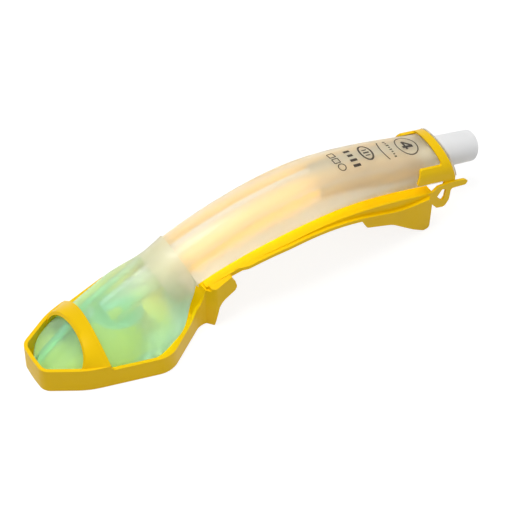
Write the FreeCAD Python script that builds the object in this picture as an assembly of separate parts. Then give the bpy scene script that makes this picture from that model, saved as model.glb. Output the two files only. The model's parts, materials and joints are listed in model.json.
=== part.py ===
import FreeCAD, Part
import math
import os

# Supraglottic airway lying in its protective cradle. Millimetres, +Z up.
# While it is drawn, x runs from the tip of the tray towards the connector.
# At the end every piece is moved so that the origin is the bottom centre of the whole.

os.makedirs("parts", exist_ok=True)
Vec = FreeCAD.Vector

# General sizes of the moulding
wall = 1.7                # wall of the cradle
plate = 1.6               # floor plates of the cradle
seat_gap = 0.3            # clearance between the device and the cradle
beyond = 60.0             # reach of cutting forms past the object
below = 1.0               # and under the floor

# Tray round the cuff, in plan
tray_front = 0.4          # how far the front line stands behind the very tip
tray_front_half = 9.4
tray_bend_x = 18.0
tray_bend_half = 19.7
tray_shoulder_x = 54.9
tray_shoulder_half = 29.5
neck_x = 78.5
neck_half = 12.8
neck_length = 3.8         # the neck, before its plates turn out
rail_wide_x = 124.0       # where the rail reaches its full width
rail_half = 17.0
rail_taper_x = 196.0      # where the sides draw in towards the collar
rail_end_x = 216.0
rail_end_half = 15.6
tip_radius = 60.0
front_radius = 6.0
bend_radius = 40.0
shoulder_radius = 12.0
neck_radius = 8.0
rail_radius = 60.0
taper_radius = 20.0

# Ears: the neck plates turn out behind the neck, stand on the floor and reach back under the rail
ear_turn = 7.2            # from the neck to the corner where they turn along the rail
ear_half = 17.0
ear_end_half = 15.0       # of the line that they follow, at its end
ear_past = 5.0            # how far that line runs past the free end
ear_corner = 1.2
ear_foot = 6.4            # from the neck to the end of their foot on the floor
ear_reach = 18.8          # from the neck to their free end
ear_level = 19.4
ear_low = 14.2
ledge_start = 5.7         # from the neck to the start of the rail floor
ledge_end = 16.0
ear_slot_run = 1.6        # notch between the ledge and the ear, in side view
ear_slot_drop = 1.9
ear_end_lean = 1.2
ear_end_drop = 2.0
ear_arch_run = 3.0        # underside of the ear, from its foot
ear_arch_round = 7.0
ear_foot_lean = 0.9
ear_foot_share = 0.4
ear_foot_round = 8.0

# Tray in side view
rim_front = 13.3          # rim between the tip and the strap
rim_back = 10.3           # rim behind the strap
rim_step_before = 0.8     # step of the rim at the back of the strap
rim_step_after = 1.2
neck_rise_start = 6.5     # the rim rises to the rail from here before the neck
neck_rise_round = 12.0
neck_rise_end = 1.0
neck_rise = 4.2
neck_rise_top_round = 6.0
floor_past_neck = 1.0
bulkhead_lean = 4.4
bulkhead_wall = 1.6

# Curve of the rail floor in side view: two arcs from its highest point, then a straight
rail_peak_x = 141.1
rail_peak_z = 33.8
rail_back_radius = 180.0
rail_front_radius = 95.0
rail_slope = math.radians(15.5)
rail_straight = 41.0
rail_side_straight = 47.0
rail_wall = 1.2           # wall of the rail's sides
rail_side_near = 0.6      # height of the rail's sides close to the neck
rail_side_middle = 1.5    # round the highest point
rail_side_height = 3.1    # over the leg
rail_side_depth = 3.4     # how far the sides reach below the rail floor at the leg
side_foot = 0.25          # how far they reach below the rail floor before it
side_foot_run = -20.0     # places along the rail where the sides change
side_drop_run = 15.0
side_drop = 0.5
side_rise_run = -40.0
side_middle_run = -15.0
side_middle_share = 0.9
side_peak_run = 8.0
side_leg_run = 10.0       # from the end of the bend

# Lip that stands out along the foot of the sides and dips over the leg
lip_start_x = 103.0
lip_start_run = 6.0       # over which it grows to its full reach
lip_reach = 1.7
lip_thickness = 1.9
lip_height = 0.8          # of its upper side over the rail floor
lip_dip = 1.5             # of its upper side under the rail floor, over the leg
lip_tail_height = 2.2
lip_tail = 2.6            # from the rear end of the lip to the back of the leg
lip_start_round = 6.0
lip_end_round = 1.0
lip_stations = [          # run from the highest point, and level of the upper side
    (-17.0, lip_height),
    (0.0, 0.3 * lip_height),
    (19.0, -0.5 * lip_dip),
    (36.0, -lip_dip),
    (46.0, -0.9 * lip_dip),
    (56.0, 0.3 * lip_tail_height),
]

# Leg under the straight of the rail, in side view
leg_front_x = 161.0
leg_toe_x = 166.5
leg_toe_z = 20.5
leg_web_x = 181.0
leg_web_z = 14.6
leg_knee_x = 192.5
leg_knee_z = 5.0
leg_foot_x = 199.6
leg_back_x = 203.0
leg_back_lean = 0.9
leg_toe_round = 3.5
leg_web_round = 14.0
leg_knee_round = 5.0
leg_foot_round = 2.5
leg_heel_round = 1.8

# Loop and tab behind the leg, measured along the straight and square to it
loop_start = 35.9
loop_low = -8.3
loop_end = 50.5
loop_eye = 41.2
loop_eye_width = 4.7
loop_eye_top = 3.6
loop_eye_low = -3.9
tab_low = 2.5
tab_high = 6.6
tab_end = 58.8

# Corners of the loop with the tab, and of its eye: place along the straight, height, radius
loop_corners = [
    (loop_start, -0.3, 0),
    (loop_start + 4.2, loop_low + 3.5, 1.5),
    (loop_end - 6.7, loop_low + 0.6, 1.5),
    (loop_end - 1.5, loop_low, 2.2),
    (loop_end, loop_low + 4.2, 2.0),
    (loop_end - 1.2, tab_low, 1.4),
    (tab_end - 0.6, tab_low + 0.5, 0.9),
    (tab_end, tab_high - 1.4, 0.9),
    (tab_end - 2.6, tab_high - 0.2, 0.9),
    (loop_end - 1.4, tab_high, 0.8),
    (loop_start + 4.0, tab_high - 0.6, 0),
    (loop_start - 1.9, rail_side_height - 3.0, 0),
]
eye_corners = [
    (loop_eye + 0.3, -0.6, 0.6),
    (loop_eye + 2.1, loop_eye_top, 0.5),
    (loop_eye + 0.2 + loop_eye_width, loop_eye_top - 0.6, 0.5),
    (loop_eye + 0.8 + loop_eye_width, -2.0, 0.6),
    (loop_eye + loop_eye_width, loop_eye_low, 0.6),
]

# Stem of the airway
stem_end_half = 13.3
stem_bulge = 1.9          # extra half width of the bite region
stem_bulge_run = -6.0     # middle of the bite region
stem_bulge_reach = 57.0
stem_half_height = 10.6
stem_neck_half_height = 10.1
stem_length_back = 74.0   # from the highest point down into the cuff
stem_centre = seat_gap + 0.1 + stem_half_height
stem_shoulder = 2.9       # extra height of the upper side close to the cuff
stem_shoulder_run = -46.0
stem_shoulder_reach = 38.0
stem_top_form = 2.2       # 2 is an ellipse, larger is squarer
stem_low_form = 3.0
stem_lip = 0.9            # thin lip round the top of the stem's end
stem_lip_rise = 1.3
stem_lip_low = 1.8        # from the foot of the cheeks to the lower ends of the lip
stem_lip_run = 30.0
stem_end_back = 9.7       # its sections end this far behind the mouth, and the cut is before that
stem_sections = [-50.0, -25.0, 0.0, 25.0, 51.0]
airway_height = stem_centre + 1.5
airway_radius = 5.5
bore_past = 3.0           # how far the bores run past the stem's end in the cuff
gastric_radius = 1.8
gastric_side = 9.8
gastric_height = airway_height - 2.5

# Connector
cone_radius = 7.6
cone_length = 16.0
cone_taper = 1.0 / 40.0 / 2.0
root_radius = cone_radius + cone_length * cone_taper + 0.05
root_depth = 28.7
sleeve_radius = 6.9
sleeve_length = 60.0
sleeve_overlap = 1.0      # of the forms that make the connector
bore_radius = 5.9
mouth_round = 0.8
connector_reach = 68.4    # from the end of the bend to the mouth

# Collar that holds the end of the stem
collar_wall = 1.2
collar_lean = math.radians(28.0)
collar_band = 5.1
collar_crown_back = 25.6  # crown of the band behind the mouth of the connector
collar_crown_level = 10.0
cheek_back = 40.4
cheek_top = 3.6
far_cheek_back = 35.0     # the cheek on the other side is shorter and taller
far_cheek_top = 5.6
cheek_bottom = -4.8
post_back = 23.7
post_front = 17.7
collar_over = 2.0         # how far the cutting form passes the crown
cheek_round = 1.0
band_round = 0.8
band_foot_round = 1.5

# Strap over the cuff
strap_thickness = 1.4
strap_front_x = 17.2
strap_front_inset = 1.7   # how far its foot stands inside the outer face of the tray
strap_front_lean = 4.6
strap_front_height = 10.0
strap_back_x = 28.4
strap_back_inset = 0.1
strap_back_lean = -1.3
strap_back_height = 14.9
strap_root = 2.0          # how far its feet reach down into the tray walls
strap_spring = 0.4        # how far its inner arch springs lower, as a share of its thickness

# Cuff: each section has its x, half width, level of its widest line over the seat,
# height over that line, depth under it, and how far it leans back in degrees
cuff_low = plate + seat_gap
cuff_stations = [
    (2.9, 3.0, 3.7, 2.6, 2.0, 0.0),
    (8.5, 10.2, 4.6, 5.7, 4.3, 0.0),
    (18.0, 16.2, 5.6, 11.2, 5.6, 0.0),
    (30.0, 20.4, 6.3, 18.4, 6.3, 0.0),
    (42.0, 23.4, 6.3, 24.6, 6.3, 0.0),
    (53.0, 24.3, 6.7, 28.2, 6.6, 3.0),
    (62.0, 21.0, 10.1, 27.5, 9.1, 9.0),
    (71.0, 16.6, 18.6, 23.3, 6.5, 16.0),
]
cuff_crest_form = 1.6     # a ridge along the back of the cuff
cuff_keel_form = 2.6
cuff_edge_back = 62.0     # edge of the cuff round the stem, from the highest point of the rail
cuff_edge = 1.0           # thickness of the cuff there
bowl_x = 37.0
bowl_length = 25.0
bowl_half = 15.5
bowl_top_x = 45.0
bowl_top_length = 11.0
bowl_top_half = 9.0
bowl_depth = 17.0
outlet_length = 27.0      # from the end of the stem's bore into the bowl
gastric_bend_x = 34.0
gastric_bend_side = 7.0
gastric_bend_z = 23.5
gastric_tip_z = 3.6


def rounded_wire(corners):
    """Closed flat wire through corners (a, b, radius), as points of the plan."""
    count = len(corners)
    edges = []
    starts = []
    ends = []
    for i in range(count):
        a, b, radius = corners[i]
        here = Vec(a, b, 0)
        before = Vec(corners[i - 1][0], corners[i - 1][1], 0) - here
        after = Vec(corners[(i + 1) % count][0], corners[(i + 1) % count][1], 0) - here
        if radius == 0:
            starts.append(here)
            ends.append(here)
            edges.append(None)
            continue
        turn = before.getAngle(after)
        back = radius / math.tan(turn / 2)
        first = here + before.normalize() * back
        last = here + after.normalize() * back
        middle = (before + after).normalize()
        centre = here + middle * (radius / math.sin(turn / 2))
        top = centre - middle * radius
        starts.append(first)
        ends.append(last)
        edges.append(Part.Arc(first, top, last).toShape())
    wire_edges = []
    for i in range(count):
        if edges[i] is not None:
            wire_edges.append(edges[i])
        nxt = (i + 1) % count
        if (starts[nxt] - ends[i]).Length > 1e-6:
            wire_edges.append(Part.LineSegment(ends[i], starts[nxt]).toShape())
    return Part.Wire(wire_edges)


def side_prism(corners, half=beyond):
    """Solid across the whole width from a side view outline."""
    face = Part.Face(rounded_wire(corners))
    face.rotate(Vec(0, 0, 0), Vec(1, 0, 0), 90)
    face.translate(Vec(0, half, 0))
    return face.extrude(Vec(0, -2 * half, 0))


# The rail curve: every point is given by its run from the highest point and its height
rail_bend = rail_front_radius * rail_slope
ledge_x = neck_x + ledge_start
rail_length_back = rail_back_radius * math.asin((rail_peak_x - ledge_x) / rail_back_radius)


def rail_point(run, height=0.0):
    """Point over the rail floor: run from the highest point, height at right angles."""
    if run < 0:
        angle = run / rail_back_radius
        x = rail_peak_x + (rail_back_radius + height) * math.sin(angle)
        z = rail_peak_z - rail_back_radius + (rail_back_radius + height) * math.cos(angle)
        return Vec(x, 0, z)
    angle = min(run, rail_bend) / rail_front_radius
    x = rail_peak_x + (rail_front_radius + height) * math.sin(angle)
    z = rail_peak_z - rail_front_radius + (rail_front_radius + height) * math.cos(angle)
    straight = max(0.0, run - rail_bend)
    return Vec(x + straight * math.cos(rail_slope), 0, z - straight * math.sin(rail_slope))


def rail_turn(run):
    """Downward slope of the rail at a run, in radians."""
    if run < 0:
        return run / rail_back_radius
    return min(run / rail_front_radius, rail_slope)


def rail_level(x):
    """Level of the rail floor at a place along the object."""
    across = x - rail_peak_x
    if across < 0:
        return rail_peak_z - rail_back_radius + math.sqrt(rail_back_radius ** 2 - across ** 2)
    bend = rail_point(rail_bend)
    if x > bend.x:
        return bend.z - (x - bend.x) * math.tan(rail_slope)
    return rail_peak_z - rail_front_radius + math.sqrt(rail_front_radius ** 2 - across ** 2)


def rail_curve(first, last, height, side=0.0):
    """Edges of the rail curve between two runs, at a height over the floor."""
    breaks = [first]
    for stop in (0.0, rail_bend):
        if first < stop < last:
            breaks.append(stop)
    breaks.append(last)
    shift = Vec(0, side, 0)
    edges = []
    for a, b in zip(breaks[:-1], breaks[1:]):
        start = rail_point(a, height) + shift
        stop = rail_point(b, height) + shift
        if a >= rail_bend - 1e-9:
            edges.append(Part.LineSegment(start, stop).toShape())
        else:
            middle = rail_point((a + b) / 2, height) + shift
            edges.append(Part.Arc(start, middle, stop).toShape())
    return edges


def across_width(edges, half=beyond):
    """Solid across the whole width from the edges of a side view."""
    face = Part.Face(Part.Wire(Part.__sortEdges__(edges)))
    face.translate(Vec(0, -half, 0))
    return face.extrude(Vec(0, 2 * half, 0))


def rail_strip(first, last, low, high):
    """Solid across the width between two levels of the rail curve."""
    bottom = rail_curve(first, last, low)
    top = rail_curve(first, last, high)
    front = Part.LineSegment(rail_point(first, low), rail_point(first, high)).toShape()
    back = Part.LineSegment(rail_point(last, low), rail_point(last, high)).toShape()
    return across_width(bottom + [back] + top + [front])


def rail_band(low, high):
    """Solid across the width between two smooth lines, each a list of (run, height)."""
    edges = []
    for line in (low, high):
        curve = Part.BSplineCurve()
        curve.interpolate([rail_point(run, height) for run, height in line])
        edges.append(curve.toShape())
    for end in (0, -1):
        edges.append(Part.LineSegment(rail_point(*low[end]), rail_point(*high[end])).toShape())
    return across_width(edges)


def straight_prism(corners):
    """Solid across the width from corners (along the straight, height over it, radius)."""
    places = []
    for along, height, radius in corners:
        point = rail_point(rail_bend + along, height)
        places.append((point.x, point.z, radius))
    return side_prism(places)


def tube(first, last, height, radius, side=0.0):
    """Round rod along the rail curve."""
    path = Part.Wire(rail_curve(first, last, height, side))
    start = rail_point(first, height) + Vec(0, side, 0)
    slope = rail_turn(first)
    along = Vec(math.cos(slope), 0, -math.sin(slope))
    ring = Part.Wire(Part.Circle(start, along, radius).toShape())
    return path.makePipeShell([ring], True, True)


def rod(start, end, radius):
    return Part.makeCylinder(radius, (end - start).Length, start, end - start)


def section_ring(centre, up, half, rise, fall, top_form, low_form):
    """Smooth closed section, with its own height and squareness above and below."""
    points = []
    count = 20
    for i in range(count):
        angle = 2 * math.pi * i / count
        c = math.cos(angle)
        s = math.sin(angle)
        height, form = (rise, top_form) if s >= 0 else (fall, low_form)
        reach = ((abs(c) / half) ** form + (abs(s) / height) ** form) ** (-1.0 / form)
        points.append(centre + Vec(0, reach * c, 0) + up * (reach * s))
    curve = Part.BSplineCurve()
    curve.interpolate(Points=points, PeriodicFlag=True, Parameters=list(range(count + 1)))
    return Part.Wire(curve.toShape())


mouth_run = rail_bend + connector_reach
mouth = rail_point(mouth_run, airway_height)


def on_axis(shape):
    """Place a shape drawn with its x along the connector and its origin at the mouth."""
    shape.rotate(Vec(0, 0, 0), Vec(0, 1, 0), math.degrees(rail_slope))
    shape.translate(mouth)
    return shape


def axis_prism(corners, half=beyond):
    return on_axis(side_prism(corners, half))


def band_line(level, back=0.0):
    """Where the leaning front of the collar lies at a level over the connector axis."""
    return back - collar_crown_back + (collar_crown_level - level) * math.tan(collar_lean)


def tray_half(x):
    """Half width of the tray between its bend and its front or its shoulder."""
    if x < tray_bend_x:
        share = (x - tray_front) / (tray_bend_x - tray_front)
        return tray_front_half + share * (tray_bend_half - tray_front_half)
    share = (x - tray_bend_x) / (tray_shoulder_x - tray_bend_x)
    return tray_bend_half + share * (tray_shoulder_half - tray_bend_half)


def both_sides(half, front=()):
    """Closed outline in plan from corners (x, half width, radius) of one side."""
    near = [(x, -y, r) for x, y, r in half]
    return rounded_wire(near + list(front) + list(reversed(half)))


def tray_plan():
    """Outline of the tray, its neck and the ears behind it."""
    ear_end_x = neck_x + ear_reach
    return both_sides([
        (ear_end_x + ear_past, ear_end_half, 0),
        (neck_x + ear_turn, ear_half, ear_corner),
        (neck_x + neck_length, neck_half, ear_corner),
        (neck_x, neck_half, neck_radius),
        (tray_shoulder_x, tray_shoulder_half, shoulder_radius),
        (tray_bend_x, tray_bend_half, bend_radius),
        (tray_front, tray_front_half, front_radius),
    ], [(0.0, 0.0, tip_radius)])


def rail_plan():
    """Outline of the rail, which widens from the neck and draws in towards the collar."""
    return both_sides([
        (rail_end_x + beyond, rail_end_half, 0),
        (rail_end_x, rail_end_half, taper_radius),
        (rail_taper_x, rail_half, taper_radius),
        (rail_wide_x, rail_half, rail_radius),
        (neck_x + neck_length, neck_half, 0),
    ])


def lip_plan():
    """Outline of the lip round the rail, which follows the rail at its reach."""
    end_x = leg_back_x - lip_tail
    first_x = neck_x + neck_length
    slope = (rail_half - neck_half) / (rail_wide_x - first_x)
    start_half = neck_half + slope * (lip_start_x - first_x)
    inside = rail_wall / 2
    return both_sides([
        (end_x + lip_reach, rail_half - inside, 0),
        (end_x, rail_half + lip_reach, lip_end_round),
        (rail_wide_x, rail_half + lip_reach, rail_radius),
        (lip_start_x, start_half + lip_reach, lip_start_round),
        (lip_start_x - lip_start_run, start_half - slope * lip_start_run - inside, 0),
    ])


def strap_arch(half, height, base, pointed):
    """Points of one arch of the strap as (across, level)."""
    steps = 10
    points = []
    for i in range(steps + 1):
        part = -1 + 2 * i / steps
        if pointed:
            rise = max(0.0, math.cos(part * math.pi / 2))
        else:
            rise = math.sqrt(max(0.0, 1 - part * part))
        points.append((half * part, base + height * rise))
    return points


def strap_wire(x, inset, lean, height, pointed):
    """Flat closed outline of the strap: outer arch, then inner arch."""
    half = tray_half(x) - inset
    foot = rim_back - strap_root
    inner_half = half - strap_thickness
    drop = strap_spring * strap_thickness
    outer = strap_arch(half, height, rim_front, pointed)
    inner = strap_arch(inner_half, height + drop - strap_thickness, rim_front - drop, pointed)

    def place(point):
        across, level = point
        return Vec(x + lean * (level - rim_front) / height, across, level)

    outer_curve = Part.BSplineCurve()
    outer_curve.interpolate([place(point) for point in outer])
    inner_curve = Part.BSplineCurve()
    inner_curve.interpolate([place(point) for point in reversed(inner)])
    first = place((-half, foot))
    second = place((-inner_half, foot))
    third = place((inner_half, foot))
    fourth = place((half, foot))
    return Part.Wire([
        Part.LineSegment(first, place(outer[0])).toShape(),
        outer_curve.toShape(),
        Part.LineSegment(place(outer[-1]), fourth).toShape(),
        Part.LineSegment(fourth, third).toShape(),
        Part.LineSegment(third, place(inner[-1])).toShape(),
        inner_curve.toShape(),
        Part.LineSegment(place(inner[0]), second).toShape(),
        Part.LineSegment(second, first).toShape(),
    ])


def strap():
    front = strap_wire(strap_front_x, strap_front_inset, strap_front_lean,
                       strap_front_height, False)
    back = strap_wire(strap_back_x, strap_back_inset, strap_back_lean,
                      strap_back_height, True)
    return Part.makeLoft([front, back], True, True)


def collar_arch(half, height):
    """Inverted U along the connector axis, round on top and straight below."""
    low = -airway_height - plate
    top = Part.Arc(Part.Ellipse(Vec(0, 0, 0), half, height), 0, math.pi).toShape()
    face = Part.Face(Part.Wire([
        top,
        Part.LineSegment(Vec(-half, 0, 0), Vec(-half, low, 0)).toShape(),
        Part.LineSegment(Vec(-half, low, 0), Vec(half, low, 0)).toShape(),
        Part.LineSegment(Vec(half, low, 0), Vec(half, 0, 0)).toShape(),
    ]))
    face.rotate(Vec(0, 0, 0), Vec(1, 0, 0), 90)
    face.rotate(Vec(0, 0, 0), Vec(0, 0, 1), 90)
    face.translate(Vec(-beyond, 0, stem_centre - airway_height))
    return on_axis(face.extrude(Vec(beyond, 0, 0)))


def collar():
    half = stem_end_half + seat_gap
    height = stem_neck_half_height + seat_gap
    arch = collar_arch(half + collar_wall, height + collar_wall)
    arch = arch.cut(collar_arch(half, height))
    crown = stem_centre - airway_height + height + collar_wall + collar_over
    post_low = tab_low - airway_height

    def side(rear, top):
        return axis_prism([
            (-rear, cheek_bottom, cheek_round),
            (-rear, top, cheek_round),
            (band_line(top, -collar_band), top, band_round),
            (band_line(crown, -collar_band), crown, 0),
            (band_line(crown), crown, 0),
            (band_line(cheek_bottom), cheek_bottom, band_foot_round),
            (-post_front, post_low, 0),
            (-post_back, post_low, 0),
            (-post_back, cheek_bottom, band_round),
        ])

    far_half = Part.makeBox(4 * beyond, beyond, 4 * beyond, Vec(0, 0, -beyond))
    near = arch.common(side(cheek_back, cheek_top)).cut(far_half)
    far = arch.common(side(far_cheek_back, far_cheek_top)).common(far_half)
    return near.fuse(far)


def tray_side_form():
    """Side view of the tray walls, the neck plates and their ears."""
    ear_x = neck_x + ear_reach
    foot_x = neck_x + ear_foot
    notch_x = neck_x + ledge_end
    return side_prism([
        (-beyond, 0.0, 0),
        (-beyond, rim_front, 0),
        (strap_back_x - rim_step_before, rim_front, 1.0),
        (strap_back_x + rim_step_after, rim_back, 1.0),
        (neck_x - neck_rise_start, rim_back, neck_rise_round),
        (neck_x + neck_rise_end, rim_back + neck_rise, neck_rise_top_round),
        (ledge_x + 0.6, rail_level(ledge_x) - 0.4, 2.0),
        (notch_x - 1.0, rail_level(notch_x) - plate + 0.4, 0),
        (notch_x, rail_level(notch_x) - plate - 0.2, 0.6),
        (notch_x + ear_slot_run, rail_level(notch_x) - plate - ear_slot_drop, 1.5),
        (ear_x, ear_level, 1.6),
        (ear_x - ear_end_lean, ear_level - ear_end_drop, 1.0),
        (foot_x + ear_arch_run, ear_low, ear_arch_round),
        (foot_x + ear_foot_lean, ear_foot_share * ear_low, ear_foot_round),
        (foot_x, 0.0, 0.4),
    ])


def leg_form():
    """Side view of the leg with its waved front edge."""
    return side_prism([
        (leg_front_x, rail_level(leg_front_x), 0),
        (leg_toe_x, leg_toe_z, leg_toe_round),
        (leg_web_x, leg_web_z, leg_web_round),
        (leg_knee_x, leg_knee_z, leg_knee_round),
        (leg_foot_x, 0.0, leg_foot_round),
        (leg_back_x, 0.0, leg_heel_round),
        (leg_back_x + leg_back_lean, rail_level(leg_back_x), 0),
    ])


def loop_form():
    """Side view of the loop and the tab behind the leg, with the eye of the loop."""
    return straight_prism(loop_corners), straight_prism(eye_corners)


def between(first, last):
    """Tall block across the width between two places along the object."""
    return side_prism([(first, -below, 0), (first, beyond, 0), (last, beyond, 0), (last, -below, 0)])


def rail_plate():
    return rail_strip(-rail_length_back, rail_bend + rail_straight, -plate, 0.0)


def tray():
    """Walls of the tray with the neck plates and ears, its floor, bulkhead and rear ledge."""
    face = Part.Face(tray_plan())
    tall = Vec(0, 0, beyond)
    outer = face.extrude(tall)
    walls = outer.cut(face.makeOffset2D(-wall).extrude(tall)).common(tray_side_form())
    floor_end = neck_x + floor_past_neck
    floor = face.extrude(Vec(0, 0, plate)).common(between(-beyond, floor_end))
    bulkhead_top = rail_level(ledge_x) - plate - seat_gap
    bulkhead = outer.common(side_prism([
        (floor_end - bulkhead_wall, 0.0, 0),
        (floor_end, 0.0, 0),
        (floor_end + bulkhead_lean, bulkhead_top, 0),
        (floor_end + bulkhead_lean - bulkhead_wall, bulkhead_top, 0),
    ]))
    ledge = outer.common(rail_plate()).common(between(0.0, neck_x + ledge_end))
    return [walls, floor, bulkhead, ledge]


def rail():
    """Floor and sides of the rail with the leg, loop and tab, and the lip round them."""
    face = Part.Face(rail_plan())
    tall = Vec(0, 0, beyond)
    outer = face.extrude(tall)
    first = -rail_length_back
    last = rail_bend + rail_side_straight
    leg_run = rail_bend + side_leg_run
    foot = -plate - side_foot
    band = rail_band(
        [(first, foot), (side_foot_run, foot), (side_drop_run, foot - side_drop),
         (leg_run, -rail_side_depth), (last, -rail_side_depth)],
        [(first, 0.0), (side_rise_run, rail_side_near),
         (side_middle_run, side_middle_share * rail_side_middle),
         (side_peak_run, rail_side_middle), (leg_run, rail_side_height), (last, rail_side_height)])
    loop, eye = loop_form()
    sides = outer.cut(face.makeOffset2D(-rail_wall).extrude(tall))
    sides = sides.common(band.fuse([leg_form(), loop]).cut(eye))

    lip_last = rail_bend + (leg_back_x - rail_point(rail_bend).x) / math.cos(rail_slope)
    line = [(-rail_length_back, lip_height)] + lip_stations + [(lip_last, lip_tail_height)]
    low_line = [(run, height - lip_thickness) for run, height in line]
    lip = Part.Face(lip_plan()).extrude(tall).cut(face.makeOffset2D(-rail_wall / 2).extrude(tall))
    lip = lip.common(rail_band(low_line, line))
    return [outer.common(rail_plate()), sides, lip]


def cradle():
    forms = tray() + rail() + [collar(), strap()]
    return forms[0].fuse(forms[1:]).removeSplitter()


def stem_ring(run, extra=0.0):
    """Section of the stem at right angles to the rail curve, enlarged by extra."""
    turn = rail_turn(run)
    share = (run - stem_bulge_run) / stem_bulge_reach
    across = math.cos(share * math.pi / 2) ** 2 if abs(share) < 1 else 0.0
    half = stem_end_half + stem_bulge * across + extra
    height = stem_neck_half_height + (stem_half_height - stem_neck_half_height) * across + extra
    share = (run - stem_shoulder_run) / stem_shoulder_reach
    rise = stem_shoulder * math.cos(share * math.pi / 2) ** 2 if abs(share) < 1 else 0.0
    up = Vec(math.sin(turn), 0, math.cos(turn))
    return section_ring(rail_point(run, stem_centre), up, half, height + rise, height,
                        stem_top_form, stem_low_form)


def stem_outer():
    """Outer form of the stem, cut off parallel to the leaning collar, with its end lip."""
    last = mouth_run - stem_end_back
    runs = [-stem_length_back] + stem_sections + [last]
    body = Part.makeLoft([stem_ring(run) for run in runs], True, False)
    start = seat_gap
    body = body.cut(axis_prism([
        (band_line(beyond, start + stem_lip), beyond, 0),
        (band_line(-beyond, start + stem_lip), -beyond, 0),
        (2 * beyond, -beyond, 0),
        (2 * beyond, beyond, 0),
    ]))
    low = cheek_bottom + stem_lip_low
    rings = [stem_ring(run, stem_lip_rise) for run in (last - stem_lip_run, last)]
    lip = Part.makeLoft(rings, True, False)
    lip = lip.common(axis_prism([
        (band_line(low, start), low, 0),
        (band_line(beyond, start), beyond, 0),
        (band_line(beyond, start + stem_lip), beyond, 0),
        (band_line(low, start + stem_lip), low, 0),
    ]))
    return body.fuse(lip).removeSplitter()


def connector_form():
    """Outer form of the connector: cone, root and the sleeve inside the stem."""
    profile = [
        Vec(0, 0, 0), Vec(0, 0, cone_radius - mouth_round),
        Vec(-mouth_round, 0, cone_radius), Vec(-cone_length, 0, root_radius),
        Vec(-root_depth, 0, root_radius), Vec(-root_depth, 0, 0), Vec(0, 0, 0),
    ]
    face = Part.Face(Part.makePolygon(profile))
    body = on_axis(face.revolve(Vec(0, 0, 0), Vec(1, 0, 0), 360))
    sleeve_end = mouth_run - root_depth
    sleeve = tube(sleeve_end - sleeve_length, sleeve_end + sleeve_overlap, airway_height, sleeve_radius)
    return body.fuse(sleeve)


def connector():
    sleeve_end = mouth_run - root_depth
    bore = tube(sleeve_end - sleeve_length - sleeve_overlap, mouth_run + sleeve_overlap,
                airway_height, bore_radius)
    return connector_form().cut(bore).removeSplitter()


def airway_stem():
    first = -stem_length_back - bore_past
    body = stem_outer().cut(connector_form())
    body = body.cut(tube(first, mouth_run, airway_height, airway_radius))
    return body.cut(tube(first, mouth_run, gastric_height, gastric_radius, gastric_side))


def ellipse_wire(level, centre_x, length, half):
    return Part.Wire(Part.Ellipse(Vec(centre_x, 0, level), length, half).toShape())


def cuff():
    edge_lean = -math.degrees(rail_turn(-cuff_edge_back))
    sections = []
    for x, half, level, rise, fall, lean in cuff_stations:
        share = lean / edge_lean
        up = Vec(-math.sin(math.radians(lean)), 0, math.cos(math.radians(lean)))
        sections.append(section_ring(
            Vec(x, 0, cuff_low + level), up, half, rise, fall,
            cuff_crest_form + share * (stem_top_form - cuff_crest_form),
            cuff_keel_form + share * (stem_low_form - cuff_keel_form)))
    sections.append(stem_ring(-cuff_edge_back, cuff_edge))
    body = Part.makeLoft(sections, True, False)
    bowl = Part.makeLoft([
        ellipse_wire(0.0, bowl_x, bowl_length, bowl_half),
        ellipse_wire(bowl_depth, bowl_top_x, bowl_top_length, bowl_top_half),
    ], True, True)
    body = body.cut(bowl).cut(stem_outer())

    turn = rail_turn(-stem_length_back)
    along = Vec(-math.cos(turn), 0, math.sin(turn))
    outlet = rail_point(-stem_length_back, airway_height)
    overlap = along * airway_radius
    body = body.cut(rod(outlet - overlap, outlet + along * outlet_length, airway_radius))
    start = rail_point(-stem_length_back, gastric_height) + Vec(0, gastric_side, 0)
    bend = Vec(gastric_bend_x, gastric_bend_side, gastric_bend_z)
    tip = Vec(-gastric_radius, 0.0, gastric_tip_z)
    for first, last in ((start - overlap, start), (start, bend), (bend, tip)):
        body = body.cut(rod(first, last, gastric_radius))
    for joint in (start, bend):
        body = body.cut(Part.makeSphere(gastric_radius, joint))
    return body


pieces = {
    "cradle": cradle(),
    "airway_stem": airway_stem(),
    "cuff": cuff(),
    "connector": connector(),
}

whole = Part.makeCompound(list(pieces.values())).optimalBoundingBox(False, False)
shift = Vec(-(whole.XMin + whole.XMax) / 2, -(whole.YMin + whole.YMax) / 2, -whole.ZMin)
for name, shape in pieces.items():
    shape.translate(shift)
    shape.exportStep("parts/" + name + ".step")
    print(name, "solids", len(shape.Solids), "valid", shape.isValid(), "volume", round(shape.Volume, 1))
print("shift", shift, "size", whole.XLength, whole.YLength, whole.ZLength)
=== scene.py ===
import json
import math

import bmesh
import bpy
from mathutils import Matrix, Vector
from mathutils.bvhtree import BVHTree


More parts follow.
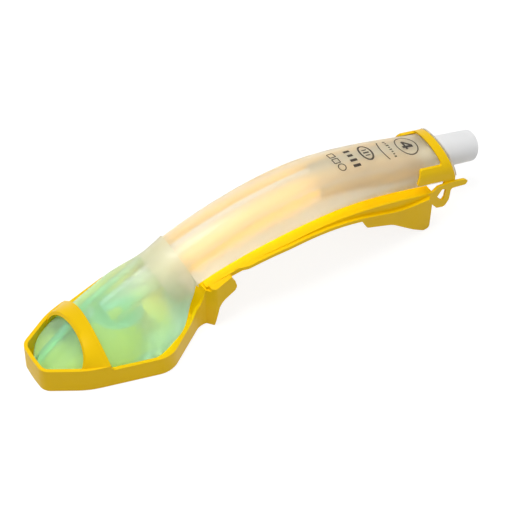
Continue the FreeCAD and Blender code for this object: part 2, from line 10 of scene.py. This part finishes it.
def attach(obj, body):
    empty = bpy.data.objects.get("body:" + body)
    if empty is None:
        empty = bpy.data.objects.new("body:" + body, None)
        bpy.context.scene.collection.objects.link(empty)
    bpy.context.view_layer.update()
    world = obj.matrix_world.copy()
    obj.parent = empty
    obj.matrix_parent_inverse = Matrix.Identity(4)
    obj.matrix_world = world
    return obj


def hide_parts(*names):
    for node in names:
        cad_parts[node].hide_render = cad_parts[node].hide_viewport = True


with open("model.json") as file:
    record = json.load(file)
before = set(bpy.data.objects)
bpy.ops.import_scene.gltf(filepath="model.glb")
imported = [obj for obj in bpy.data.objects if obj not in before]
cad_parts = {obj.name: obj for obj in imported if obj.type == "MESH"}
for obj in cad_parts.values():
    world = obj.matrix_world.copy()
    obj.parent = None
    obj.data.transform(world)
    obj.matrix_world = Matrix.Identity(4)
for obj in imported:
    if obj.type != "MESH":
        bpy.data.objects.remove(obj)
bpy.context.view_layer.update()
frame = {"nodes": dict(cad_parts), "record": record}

# Supraglottic airway in its yellow cradle. Everything is in metres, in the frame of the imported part.
MM = 0.001

# Camera at the photograph's viewing angle
camera_azimuth = math.radians(-31.33)
camera_elevation = math.radians(48.0)
camera_distance = 1.0
camera_target = Vector((4.292, 10.58, 0.0)) * MM
sensor_width = 36.0
focal_length = 149.6

# Directions on the straight end of the stem, from the connector's own mount
record = frame["record"]
cone_mount = next(m for m in record["mounts"] if m["name"] == "connector_cone")
along = Vector(cone_mount["axis"]).normalized()
side = Vector((0.0, 1.0, 0.0))
up = side.cross(-along).normalized()
mouth_ahead = 8.0 * MM
mouth = Vector(cone_mount["pos_m"]) + along * mouth_ahead

# Finishes, as linear colours
yellow = (0.95, 0.61, 0.0)
yellow_deep = (0.86, 0.49, 0.0)
clear_body = (0.95, 0.90, 0.76)
clear_shade = (0.92, 0.88, 0.78)
gel_green = (0.55, 0.88, 0.68)
gel_clear = (0.90, 0.90, 0.78)
gel_shade = (0.88, 0.95, 0.86)
ink = (0.035, 0.024, 0.016)
milk = (0.84, 0.845, 0.85)
sleeve_clear = (0.97, 0.97, 0.96)


# Shared node groups


def new_group(name, inputs, outputs):
    """An empty shader group with named sockets, given as (name, kind, value)."""
    group = bpy.data.node_groups.new(name, "ShaderNodeTree")
    for label, kind, value in inputs:
        socket = group.interface.new_socket(label, in_out="INPUT", socket_type=kind)
        if value is not None:
            socket.default_value = value
    for label, kind in outputs:
        group.interface.new_socket(label, in_out="OUTPUT", socket_type=kind)
    entry = group.nodes.new("NodeGroupInput")
    leave = group.nodes.new("NodeGroupOutput")
    return group, entry, leave


def moulded_skin_group():
    """Faint unevenness of a moulded surface: a roughness and a normal."""
    group, entry, leave = new_group(
        "moulded skin",
        [("Grain Size", "NodeSocketFloat", 900.0), ("Wave Size", "NodeSocketFloat", 60.0),
         ("Depth", "NodeSocketFloat", 0.00002), ("Roughness Low", "NodeSocketFloat", 0.3),
         ("Roughness High", "NodeSocketFloat", 0.4)],
        [("Roughness", "NodeSocketFloat"), ("Normal", "NodeSocketVector")])
    nodes = group.nodes
    links = group.links
    place = nodes.new("ShaderNodeTexCoord")
    grain = nodes.new("ShaderNodeTexNoise")
    wave = nodes.new("ShaderNodeTexNoise")
    links.new(place.outputs["Object"], grain.inputs["Vector"])
    links.new(place.outputs["Object"], wave.inputs["Vector"])
    links.new(entry.outputs["Grain Size"], grain.inputs["Scale"])
    links.new(entry.outputs["Wave Size"], wave.inputs["Scale"])
    spread = nodes.new("ShaderNodeMapRange")
    links.new(wave.outputs["Fac"], spread.inputs["Value"])
    spread.inputs["From Min"].default_value = 0.3
    spread.inputs["From Max"].default_value = 0.7
    links.new(entry.outputs["Roughness Low"], spread.inputs["To Min"])
    links.new(entry.outputs["Roughness High"], spread.inputs["To Max"])
    links.new(spread.outputs["Result"], leave.inputs["Roughness"])
    total = nodes.new("ShaderNodeMath")
    total.operation = "ADD"
    links.new(grain.outputs["Fac"], total.inputs[0])
    links.new(wave.outputs["Fac"], total.inputs[1])
    bump = nodes.new("ShaderNodeBump")
    bump.inputs["Strength"].default_value = 1.0
    links.new(entry.outputs["Depth"], bump.inputs["Distance"])
    links.new(total.outputs["Value"], bump.inputs["Height"])
    links.new(bump.outputs["Normal"], leave.inputs["Normal"])
    return group


def along_mask_group():
    """A value that goes from 0 to 1 between two places along the object."""
    group, entry, leave = new_group(
        "along the object",
        [("Start", "NodeSocketFloat", 0.0), ("End", "NodeSocketFloat", 1.0),
         ("Lean", "NodeSocketFloat", 0.0), ("Wander", "NodeSocketFloat", 0.0)],
        [("Mask", "NodeSocketFloat")])
    nodes = group.nodes
    links = group.links
    place = nodes.new("ShaderNodeTexCoord")
    split = nodes.new("ShaderNodeSeparateXYZ")
    links.new(place.outputs["Object"], split.inputs["Vector"])
    leaning = nodes.new("ShaderNodeMath")
    leaning.operation = "MULTIPLY_ADD"
    links.new(split.outputs["Z"], leaning.inputs[0])
    links.new(entry.outputs["Lean"], leaning.inputs[1])
    links.new(split.outputs["X"], leaning.inputs[2])
    noise = nodes.new("ShaderNodeTexNoise")
    noise.inputs["Scale"].default_value = 45.0
    links.new(place.outputs["Object"], noise.inputs["Vector"])
    wander = nodes.new("ShaderNodeMath")
    wander.operation = "MULTIPLY_ADD"
    links.new(noise.outputs["Fac"], wander.inputs[0])
    links.new(entry.outputs["Wander"], wander.inputs[1])
    links.new(leaning.outputs["Value"], wander.inputs[2])
    spread = nodes.new("ShaderNodeMapRange")
    spread.interpolation_type = "SMOOTHSTEP"
    links.new(wander.outputs["Value"], spread.inputs["Value"])
    links.new(entry.outputs["Start"], spread.inputs["From Min"])
    links.new(entry.outputs["End"], spread.inputs["From Max"])
    links.new(spread.outputs["Result"], leave.inputs["Mask"])
    return group


moulded_skin = moulded_skin_group()
along_mask = along_mask_group()


# Materials


def new_material(name):
    material = bpy.data.materials.new(name)
    material.use_nodes = True
    shader = material.node_tree.nodes["Principled BSDF"]
    return material, shader


def place_group(material, group, values):
    node = material.node_tree.nodes.new("ShaderNodeGroup")
    node.node_tree = group
    for label, value in values.items():
        node.inputs[label].default_value = value
    return node


def add_skin(material, shader, grain, wave, depth, low, high):
    skin = place_group(material, moulded_skin, {
        "Grain Size": grain, "Wave Size": wave, "Depth": depth,
        "Roughness Low": low, "Roughness High": high})
    links = material.node_tree.links
    links.new(skin.outputs["Roughness"], shader.inputs["Roughness"])
    links.new(skin.outputs["Normal"], shader.inputs["Normal"])


def mix_colour(material, first, second, mask):
    mix = material.node_tree.nodes.new("ShaderNodeMix")
    mix.data_type = "RGBA"
    mix.inputs[6].default_value = (*first, 1.0)
    mix.inputs[7].default_value = (*second, 1.0)
    material.node_tree.links.new(mask, mix.inputs["Factor"])
    return mix.outputs[2]


def yellow_plastic():
    material, shader = new_material("yellow moulded plastic")
    tree = material.node_tree
    noise = tree.nodes.new("ShaderNodeTexNoise")
    place = tree.nodes.new("ShaderNodeTexCoord")
    noise.inputs["Scale"].default_value = 35.0
    tree.links.new(place.outputs["Object"], noise.inputs["Vector"])
    spread = tree.nodes.new("ShaderNodeMapRange")
    spread.inputs["From Min"].default_value = 0.35
    spread.inputs["From Max"].default_value = 0.75
    spread.inputs["To Max"].default_value = 0.35
    tree.links.new(noise.outputs["Fac"], spread.inputs["Value"])
    colour = mix_colour(material, yellow, yellow_deep, spread.outputs["Result"])
    tree.links.new(colour, shader.inputs["Base Color"])
    add_skin(material, shader, 1400.0, 90.0, 0.00001, 0.32, 0.44)
    shader.inputs["IOR"].default_value = 1.49
    shader.inputs["Specular IOR Level"].default_value = 0.15
    return material


def let_lamps_through(material, shader, tint):
    """Mixes in a tinted clear shader for the rays from lamps, so that they reach what lies behind."""
    tree = material.node_tree
    path = tree.nodes.new("ShaderNodeLightPath")
    clear = tree.nodes.new("ShaderNodeBsdfTransparent")
    clear.inputs["Color"].default_value = (*tint, 1.0)
    mix = tree.nodes.new("ShaderNodeMixShader")
    tree.links.new(path.outputs["Is Shadow Ray"], mix.inputs["Fac"])
    tree.links.new(shader.outputs["BSDF"], mix.inputs[1])
    tree.links.new(clear.outputs["BSDF"], mix.inputs[2])
    tree.links.new(mix.outputs["Shader"], tree.nodes["Material Output"].inputs["Surface"])


def clear_elastomer():
    material, shader = new_material("clear soft elastomer")
    shader.inputs["Base Color"].default_value = (*clear_body, 1.0)
    shader.inputs["Transmission Weight"].default_value = 0.82
    shader.inputs["IOR"].default_value = 1.38
    add_skin(material, shader, 500.0, 70.0, 0.00001, 0.285, 0.35)
    let_lamps_through(material, shader, clear_shade)
    return material


def green_gel():
    material, shader = new_material("green soft gel")
    tree = material.node_tree
    mask = place_group(material, along_mask, {
        "Start": -0.028, "End": 0.032, "Lean": 2.0, "Wander": 0.02})
    colour = mix_colour(material, gel_green, gel_clear, mask.outputs["Mask"])
    tree.links.new(colour, shader.inputs["Base Color"])
    shader.inputs["Transmission Weight"].default_value = 0.78
    shader.inputs["IOR"].default_value = 1.33
    add_skin(material, shader, 500.0, 60.0, 0.00001, 0.285, 0.36)
    let_lamps_through(material, shader, gel_shade)
    return material


def milky_plastic():
    """The cone of the connector."""
    material, shader = new_material("milky connector plastic")
    shader.inputs["Base Color"].default_value = (*milk, 1.0)
    shader.inputs["Subsurface Weight"].default_value = 0.5
    shader.inputs["Subsurface Radius"].default_value = (1.0, 1.0, 1.0)
    shader.inputs["Subsurface Scale"].default_value = 0.003
    add_skin(material, shader, 900.0, 80.0, 0.00001, 0.3, 0.42)
    return material


def sleeve_plastic():
    """The thin sleeve of the connector, clear where it lies inside the stem."""
    material, shader = new_material("clear sleeve plastic")
    shader.inputs["Base Color"].default_value = (*sleeve_clear, 1.0)
    shader.inputs["Transmission Weight"].default_value = 0.95
    shader.inputs["IOR"].default_value = 1.4
    add_skin(material, shader, 900.0, 80.0, 0.00001, 0.08, 0.16)
    let_lamps_through(material, shader, clear_body)
    return material


def print_ink():
    material, shader = new_material("dark print")
    shader.inputs["Base Color"].default_value = (*ink, 1.0)
    add_skin(material, shader, 3000.0, 400.0, 0.000004, 0.45, 0.6)
    return material


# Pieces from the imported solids

merge_distance = 0.000004
flat_angle = math.radians(0.4)
sharp_angle = math.radians(32.0)
rounding_angle = math.radians(35.0)
edge_round = 0.00035


def merged_mesh(node, join_flats):
    """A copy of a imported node's mesh with its doubles merged and, where asked, its flats joined."""
    mesh = frame["nodes"][node].data.copy()
    for label in ("custom_normal", "sharp_edge", "sharp_face"):
        if label in mesh.attributes:
            mesh.attributes.remove(mesh.attributes[label])
    work = bmesh.new()
    work.from_mesh(mesh)
    bmesh.ops.remove_doubles(work, verts=work.verts, dist=merge_distance)
    if join_flats:
        bmesh.ops.dissolve_limit(work, angle_limit=flat_angle, verts=work.verts, edges=work.edges)
    work.to_mesh(mesh)
    work.free()
    return mesh


def build_cradle(material):
    """The cradle with the small rounded edges of a moulding."""
    mesh = merged_mesh("cradle", True)
    mesh.materials.clear()
    mesh.materials.append(material)
    piece = bpy.data.objects.new("cradle_moulding", mesh)
    bpy.context.scene.collection.objects.link(piece)
    mesh.polygons.foreach_set("use_smooth", [True] * len(mesh.polygons))
    mesh.set_sharp_from_angle(angle=sharp_angle)
    rounding = piece.modifiers.new("rounded edges", "BEVEL")
    rounding.width = edge_round
    rounding.segments = 2
    rounding.limit_method = "ANGLE"
    rounding.angle_limit = rounding_angle
    rounding.harden_normals = True
    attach(piece, "root")
    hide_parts("cradle")


def build_neck_web(material):
    """The web that joins the cross wall of the neck with the front edge of the rail floor."""
    low = Vector((-35.8, -12.7, 22.2)) * MM
    high = Vector((-32.8, 12.7, 24.3)) * MM
    round_off = 0.25 * MM
    work = bmesh.new()
    bmesh.ops.create_cube(work, size=1.0)
    for vertex in work.verts:
        for axis in range(3):
            vertex.co[axis] = high[axis] if vertex.co[axis] > 0 else low[axis]
    bmesh.ops.bevel(work, geom=work.edges[:], offset=round_off, segments=2, affect="EDGES")
    mesh = bpy.data.meshes.new("neck_web")
    work.to_mesh(mesh)
    work.free()
    mesh.materials.append(material)
    piece = bpy.data.objects.new("neck_web", mesh)
    bpy.context.scene.collection.objects.link(piece)
    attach(piece, "root")


def dress_node(node, material):
    """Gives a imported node, whose shape is right, a better finish."""
    mesh = frame["nodes"][node].data
    if len(mesh.materials) == 0:
        mesh.materials.append(material)
    for i in range(len(mesh.materials)):
        mesh.materials[i] = material


def stem_tree():
    """The stem's surface, for pieces that are bonded or printed on it."""
    mesh = frame["nodes"]["airway_stem"].data
    points = [v.co.copy() for v in mesh.vertices]
    return BVHTree.FromPolygons(points, [tuple(p.vertices) for p in mesh.polygons])


stem_surface = stem_tree()
contact = 0.08 * MM
bond_depth = 0.25 * MM


def bonded_piece(name, node, materials):
    """A piece that is bonded to the stem: where the two meet it reaches a hair into the stem,
    so that light goes straight from one into the other."""
    mesh = merged_mesh(node, False)
    for vertex in mesh.vertices:
        place, normal, index, distance = stem_surface.find_nearest(vertex.co, contact)
        if place is not None:
            vertex.co = place - normal * bond_depth
    mesh.materials.clear()
    for material in materials:
        mesh.materials.append(material)
    mesh.polygons.foreach_set("use_smooth", [True] * len(mesh.polygons))
    mesh.set_sharp_from_angle(angle=sharp_angle)
    piece = bpy.data.objects.new(name, mesh)
    bpy.context.scene.collection.objects.link(piece)
    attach(piece, "root")
    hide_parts(node)
    return piece


# The soft front of the cuff bears on the tray's walls, so it is a little wider there than at rest
tip_x = -116.0 * MM
blunt_x = -106.0 * MM
full_x = -86.0 * MM
tip_spread = 0.2
front_spread = 0.1
front_swell = 3.0 * MM
flank_low = 5.0 * MM
flank_full = 9.0 * MM
flank_out = 10.0 * MM


def smooth_share(value, start, end):
    """0 before start, 1 after end, and smooth in between."""
    share = min(1.0, max(0.0, (value - start) / (end - start)))
    return share * share * (3.0 - 2.0 * share)


def build_cuff(material):
    """The gel cuff, with the spread and swollen front that it has in the tray."""
    piece = bonded_piece("cuff_gel", "cuff", [material])
    for vertex in piece.data.vertices:
        fade = 1.0 - smooth_share(vertex.co.x, tip_x, full_x)
        blunt = 1.0 - smooth_share(vertex.co.x, tip_x, blunt_x)
        flank = smooth_share(vertex.co.z, flank_low, flank_full) * min(1.0, abs(vertex.co.y) / flank_out)
        vertex.co.y *= 1.0 + front_spread * fade + tip_spread * blunt
        vertex.co.z += front_swell * fade * flank
    piece.data.update()


# Plane of the leaning end of the stem, which parts the connector's two finishes
end_behind = 24.4 * MM
end_level = 10.0 * MM
end_lean = math.radians(28.0)
end_place = mouth - along * end_behind + up * end_level
end_normal = along * math.cos(end_lean) + up * math.sin(end_lean)
cut_distance = 0.000001


def build_connector(cone_finish, sleeve_finish):
    """The connector with its own finish on the part that lies inside the stem."""
    piece = bonded_piece("connector_cone_and_sleeve", "connector", [cone_finish, sleeve_finish])
    work = bmesh.new()
    work.from_mesh(piece.data)
    everything = work.verts[:] + work.edges[:] + work.faces[:]
    bmesh.ops.bisect_plane(work, geom=everything, dist=cut_distance,
                           plane_co=end_place, plane_no=end_normal)
    for face in work.faces:
        ahead = (face.calc_center_median() - end_place).dot(end_normal)
        face.material_index = 0 if ahead > 0 else 1
    work.to_mesh(piece.data)
    work.free()


# Print on the stem: plain marks that stand for nothing, drawn flat as (distance behind the
# connector's mouth, distance to the side) and then laid on the stem

ink_lift = 0.05 * MM
cast_height = 40.0 * MM


def on_stem(back, across):
    """Point on top of the stem at a distance behind the connector's mouth and to its side."""
    start = mouth - along * back + side * across + up * cast_height
    place, normal, index, distance = stem_surface.ray_cast(start, -up)
    return place + up * ink_lift


def add_stroke(work, points, width, closed=False):
    """Adds a flat stroke along points (back, across), in millimetres."""
    count = len(points)
    rows = []
    for i in range(count):
        before = Vector(points[(i - 1) % count] if closed or i else points[0])
        after = Vector(points[(i + 1) % count] if closed or i < count - 1 else points[-1])
        run = (after - before).normalized()
        normal = Vector((-run.y, run.x))
        here = Vector(points[i])
        row = []
        for share in (-0.5, 0.0, 0.5):
            spot = here + normal * (width * share)
            row.append(work.verts.new((spot.x, spot.y, 0.0)))
        rows.append(row)
    steps = count if closed else count - 1
    for i in range(steps):
        a = rows[i]
        b = rows[(i + 1) % count]
        for k in range(2):
            work.faces.new((a[k], b[k], b[k + 1], a[k + 1]))


def line_points(first, last, step=0.5):
    first = Vector(first)
    last = Vector(last)
    count = max(2, int((last - first).length / step) + 1)
    return [first.lerp(last, i / (count - 1)) for i in range(count)]


def arc_points(centre, reach_back, reach_across, start, end, count):
    points = []
    for i in range(count):
        angle = math.radians(start + (end - start) * i / (count - 1))
        points.append(Vector((centre[0] + reach_back * math.cos(angle),
                              centre[1] + reach_across * math.sin(angle))))
    return points


def ring_points(centre, reach_back, reach_across, count=48):
    return arc_points(centre, reach_back, reach_across, 0.0, 360.0, count + 1)[:-1]


def lay_on_stem(name, mesh, material):
    """Lays a flat drawing in millimetres on the stem and makes it a piece."""
    for vertex in mesh.vertices:
        vertex.co = on_stem(vertex.co.x * MM, vertex.co.y * MM)
    mesh.update()
    if sum(face.normal.dot(up) for face in mesh.polygons) < 0:
        mesh.flip_normals()
    mesh.materials.clear()
    mesh.materials.append(material)
    piece = bpy.data.objects.new(name, mesh)
    bpy.context.scene.collection.objects.link(piece)
    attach(piece, "root")
    return piece


def drawn(name, strokes, material):
    """A piece of print from strokes (points, width, closed)."""
    work = bmesh.new()
    for points, width, closed in strokes:
        add_stroke(work, points, width, closed)
    mesh = bpy.data.meshes.new(name)
    bmesh.ops.recalc_face_normals(work, faces=work.faces)
    work.to_mesh(mesh)
    work.free()
    return lay_on_stem(name, mesh, material)


def mark_row_tree():
    """A row of plain blocks of print, each a little shorter or longer than the next."""
    tree = bpy.data.node_groups.new("row of print marks", "GeometryNodeTree")
    tree.interface.new_socket("Geometry", in_out="INPUT", socket_type="NodeSocketGeometry")
    for label, kind, value in (
            ("Count", "NodeSocketInt", 5), ("Step", "NodeSocketFloat", 1.2),
            ("Height", "NodeSocketFloat", 1.0), ("Width", "NodeSocketFloat", 0.8),
            ("Least", "NodeSocketFloat", 0.6), ("Seed", "NodeSocketInt", 3)):
        socket = tree.interface.new_socket(label, in_out="INPUT", socket_type=kind)
        socket.default_value = value
    tree.interface.new_socket("Ink", in_out="INPUT", socket_type="NodeSocketMaterial")
    tree.interface.new_socket("Geometry", in_out="OUTPUT", socket_type="NodeSocketGeometry")
    nodes = tree.nodes
    links = tree.links
    entry = nodes.new("NodeGroupInput")
    leave = nodes.new("NodeGroupOutput")
    offset = nodes.new("ShaderNodeCombineXYZ")
    flip = nodes.new("ShaderNodeMath")
    flip.operation = "MULTIPLY"
    flip.inputs[1].default_value = -1.0
    links.new(entry.outputs["Step"], flip.inputs[0])
    links.new(flip.outputs["Value"], offset.inputs["Y"])
    line = nodes.new("GeometryNodeMeshLine")
    links.new(entry.outputs["Count"], line.inputs["Count"])
    links.new(offset.outputs["Vector"], line.inputs["Offset"])
    block = nodes.new("GeometryNodeMeshGrid")
    block.inputs["Vertices X"].default_value = 4
    block.inputs["Vertices Y"].default_value = 3
    links.new(entry.outputs["Height"], block.inputs["Size X"])
    links.new(entry.outputs["Width"], block.inputs["Size Y"])
    size = nodes.new("FunctionNodeRandomValue")
    size.data_type = "FLOAT"
    links.new(entry.outputs["Least"], size.inputs[2])
    size.inputs[3].default_value = 1.0
    links.new(entry.outputs["Seed"], size.inputs["Seed"])
    scale = nodes.new("ShaderNodeCombineXYZ")
    links.new(size.outputs[1], scale.inputs["X"])
    scale.inputs["Y"].default_value = 1.0
    scale.inputs["Z"].default_value = 1.0
    spread = nodes.new("GeometryNodeInstanceOnPoints")
    links.new(line.outputs["Mesh"], spread.inputs["Points"])
    links.new(block.outputs["Mesh"], spread.inputs["Instance"])
    links.new(scale.outputs["Vector"], spread.inputs["Scale"])
    real = nodes.new("GeometryNodeRealizeInstances")
    links.new(spread.outputs["Instances"], real.inputs["Geometry"])
    finish = nodes.new("GeometryNodeSetMaterial")
    links.new(real.outputs["Geometry"], finish.inputs["Geometry"])
    links.new(entry.outputs["Ink"], finish.inputs["Material"])
    links.new(finish.outputs["Geometry"], leave.inputs["Geometry"])
    return tree


def socket_id(tree, label):
    return next(item.identifier for item in tree.interface.items_tree
                if item.name == label and item.in_out == "INPUT")


def mark_row(name, start, values, tree, material):
    """A row of marks from a start (back, across) towards the near side of the stem."""
    holder = bpy.data.objects.new(name + "_row", bpy.data.meshes.new(name + "_row"))
    bpy.context.scene.collection.objects.link(holder)
    row = holder.modifiers.new("row", "NODES")
    row.node_group = tree
    for label, value in values.items():
        row[socket_id(tree, label)] = value
    row[socket_id(tree, "Ink")] = material
    ready = holder.evaluated_get(bpy.context.evaluated_depsgraph_get())
    mesh = bpy.data.meshes.new_from_object(ready)
    mesh.name = name
    holder.modifiers.remove(row)
    bpy.data.objects.remove(holder)
    for vertex in mesh.vertices:
        vertex.co.x += start[0]
        vertex.co.y += start[1]
    return lay_on_stem(name, mesh, material)


def build_print(material):
    """A plain numeral in a ring, a guide line, and plain blocks, rings and squares behind it."""
    fine = 0.6
    bold = 0.9
    number = (41.0, 0.2)
    guide = (50.0, -0.3)
    symbol = (64.6, 0.6)
    small = (81.4, 4.4)
    small_row = (51.0, 5.2)
    bold_row = (73.2, 4.2)
    drawn("print_number_ring", [(ring_points(number, 5.6, 6.0), fine, True)], material)
    foot = number[0] + 3.0
    top = number[0] - 3.0
    bar = number[0] + 1.2
    drawn("print_number", [
        (line_points((top, number[1] - 1.0), (foot, number[1] - 1.0)), 1.4, False),
        (line_points((bar, number[1] + 2.9), (bar, number[1] - 2.7)), 1.2, False),
        (line_points((top + 0.3, number[1] - 0.6), (bar, number[1] + 2.6)), 1.3, False),
    ], material)
    drawn("print_guide_line", [
        (arc_points(guide, 6.4, 9.0, -42.0, 42.0, 25), 0.6, False),
    ], material)
    drawn("print_symbol", [
        (ring_points(symbol, 3.0, 4.8), bold, True),
        (line_points((symbol[0] - 1.3, symbol[1] + 1.6), (symbol[0] + 1.3, symbol[1] + 1.6)), fine, False),
        (line_points((symbol[0] - 1.6, symbol[1] - 0.2), (symbol[0] + 1.6, symbol[1] - 0.2)), bold, False),
        (line_points((symbol[0] - 1.3, symbol[1] - 2.0), (symbol[0] + 1.3, symbol[1] - 2.0)), fine, False),
    ], material)
    squares = []
    for across in (small[1], small[1] - 4.2):
        corners = [(small[0] - 1.5, across - 1.5), (small[0] + 1.5, across - 1.5),
                   (small[0] + 1.5, across + 1.5), (small[0] - 1.5, across + 1.5)]
        for first, last in zip(corners, corners[1:] + corners[:1]):
            squares.append((line_points(first, last), 0.5, False))
    squares.append((ring_points((small[0] - 0.6, small[1] - 8.6), 1.8, 1.9, 28), 0.5, True))
    drawn("print_squares", squares, material)
    tree = mark_row_tree()
    mark_row("print_small_row", small_row, {
        "Count": 8, "Step": 1.5, "Height": 1.7, "Width": 0.8, "Least": 0.5, "Seed": 4}, tree, material)
    mark_row("print_bold_row", bold_row, {
        "Count": 4, "Step": 3.2, "Height": 4.0, "Width": 1.5, "Least": 0.55, "Seed": 11}, tree, material)


# Stage, camera and light

floor_size = 6.0
floor_level = -0.0002
key_place = (-0.25, 0.1, 1.2)
fill_place = (0.5, -0.9, 0.9)


def new_plane(name, size, level, material):
    mesh = bpy.data.meshes.new(name)
    half = size / 2
    corners = [(-half, -half, level), (half, -half, level), (half, half, level), (-half, half, level)]
    mesh.from_pydata(corners, [], [(0, 1, 2, 3)])
    mesh.materials.append(material)
    plane = bpy.data.objects.new(name, mesh)
    bpy.context.scene.collection.objects.link(plane)


def background_rays(tree):
    """1 for the rays that see the background: the camera's, reflected and refracted ones."""
    path = tree.nodes.new("ShaderNodeLightPath")
    seen = path.outputs["Is Camera Ray"]
    for label in ("Is Glossy Ray", "Is Transmission Ray"):
        most = tree.nodes.new("ShaderNodeMath")
        most.operation = "MAXIMUM"
        tree.links.new(seen, most.inputs[0])
        tree.links.new(path.outputs[label], most.inputs[1])
        seen = most.outputs["Value"]
    return seen


def level_for(tree, seen, others, background):
    """One level for the rays that see the background and another for the rest."""
    level = tree.nodes.new("ShaderNodeMapRange")
    level.inputs["To Min"].default_value = others
    level.inputs["To Max"].default_value = background
    tree.links.new(seen, level.inputs["Value"])
    return level.outputs["Result"]


def floor_material():
    """Pale floor that shows white and keeps a soft shadow."""
    material, shader = new_material("white floor")
    shader.inputs["Roughness"].default_value = 0.9
    shader.inputs["Emission Color"].default_value = (1.0, 1.0, 1.0, 1.0)
    tree = material.node_tree
    seen = background_rays(tree)
    tree.links.new(level_for(tree, seen, 0.6, 0.25), shader.inputs["Base Color"])
    tree.links.new(level_for(tree, seen, 0.0, 0.84), shader.inputs["Emission Strength"])
    return material


def set_world():
    world = bpy.data.worlds.new("studio")
    bpy.context.scene.world = world
    world.use_nodes = True
    tree = world.node_tree
    background = tree.nodes["Background"]
    background.inputs["Color"].default_value = (1.0, 1.0, 1.0, 1.0)
    tree.links.new(level_for(tree, background_rays(tree), 0.42, 1.0), background.inputs["Strength"])


def add_lamp(name, place, size, power):
    lamp = bpy.data.lights.new(name, "AREA")
    lamp.energy = power
    lamp.shape = "SQUARE"
    lamp.size = size
    holder = bpy.data.objects.new(name, lamp)
    bpy.context.scene.collection.objects.link(holder)
    holder.location = place
    holder.rotation_euler = (camera_target - Vector(place)).to_track_quat("-Z", "Y").to_euler()


def set_camera():
    back = Vector((math.sin(camera_azimuth) * math.cos(camera_elevation),
                   -math.cos(camera_azimuth) * math.cos(camera_elevation),
                   math.sin(camera_elevation)))
    data = bpy.data.cameras.new("camera")
    data.sensor_width = sensor_width
    data.lens = focal_length
    data.clip_start = 0.01
    camera = bpy.data.objects.new("camera", data)
    bpy.context.scene.collection.objects.link(camera)
    camera.location = camera_target + back * camera_distance
    camera.rotation_euler = back.to_track_quat("Z", "Y").to_euler()
    bpy.context.scene.camera = camera


# The whole part

cradle_finish = yellow_plastic()
build_cradle(cradle_finish)
build_neck_web(cradle_finish)
dress_node("airway_stem", clear_elastomer())
build_cuff(green_gel())
build_connector(milky_plastic(), sleeve_plastic())
build_print(print_ink())
new_plane("floor", floor_size, floor_level, floor_material())
set_world()
add_lamp("key", key_place, 0.6, 9.0)
add_lamp("fill", fill_place, 0.9, 1.5)
set_camera()
bpy.context.scene.view_settings.view_transform = "Standard"
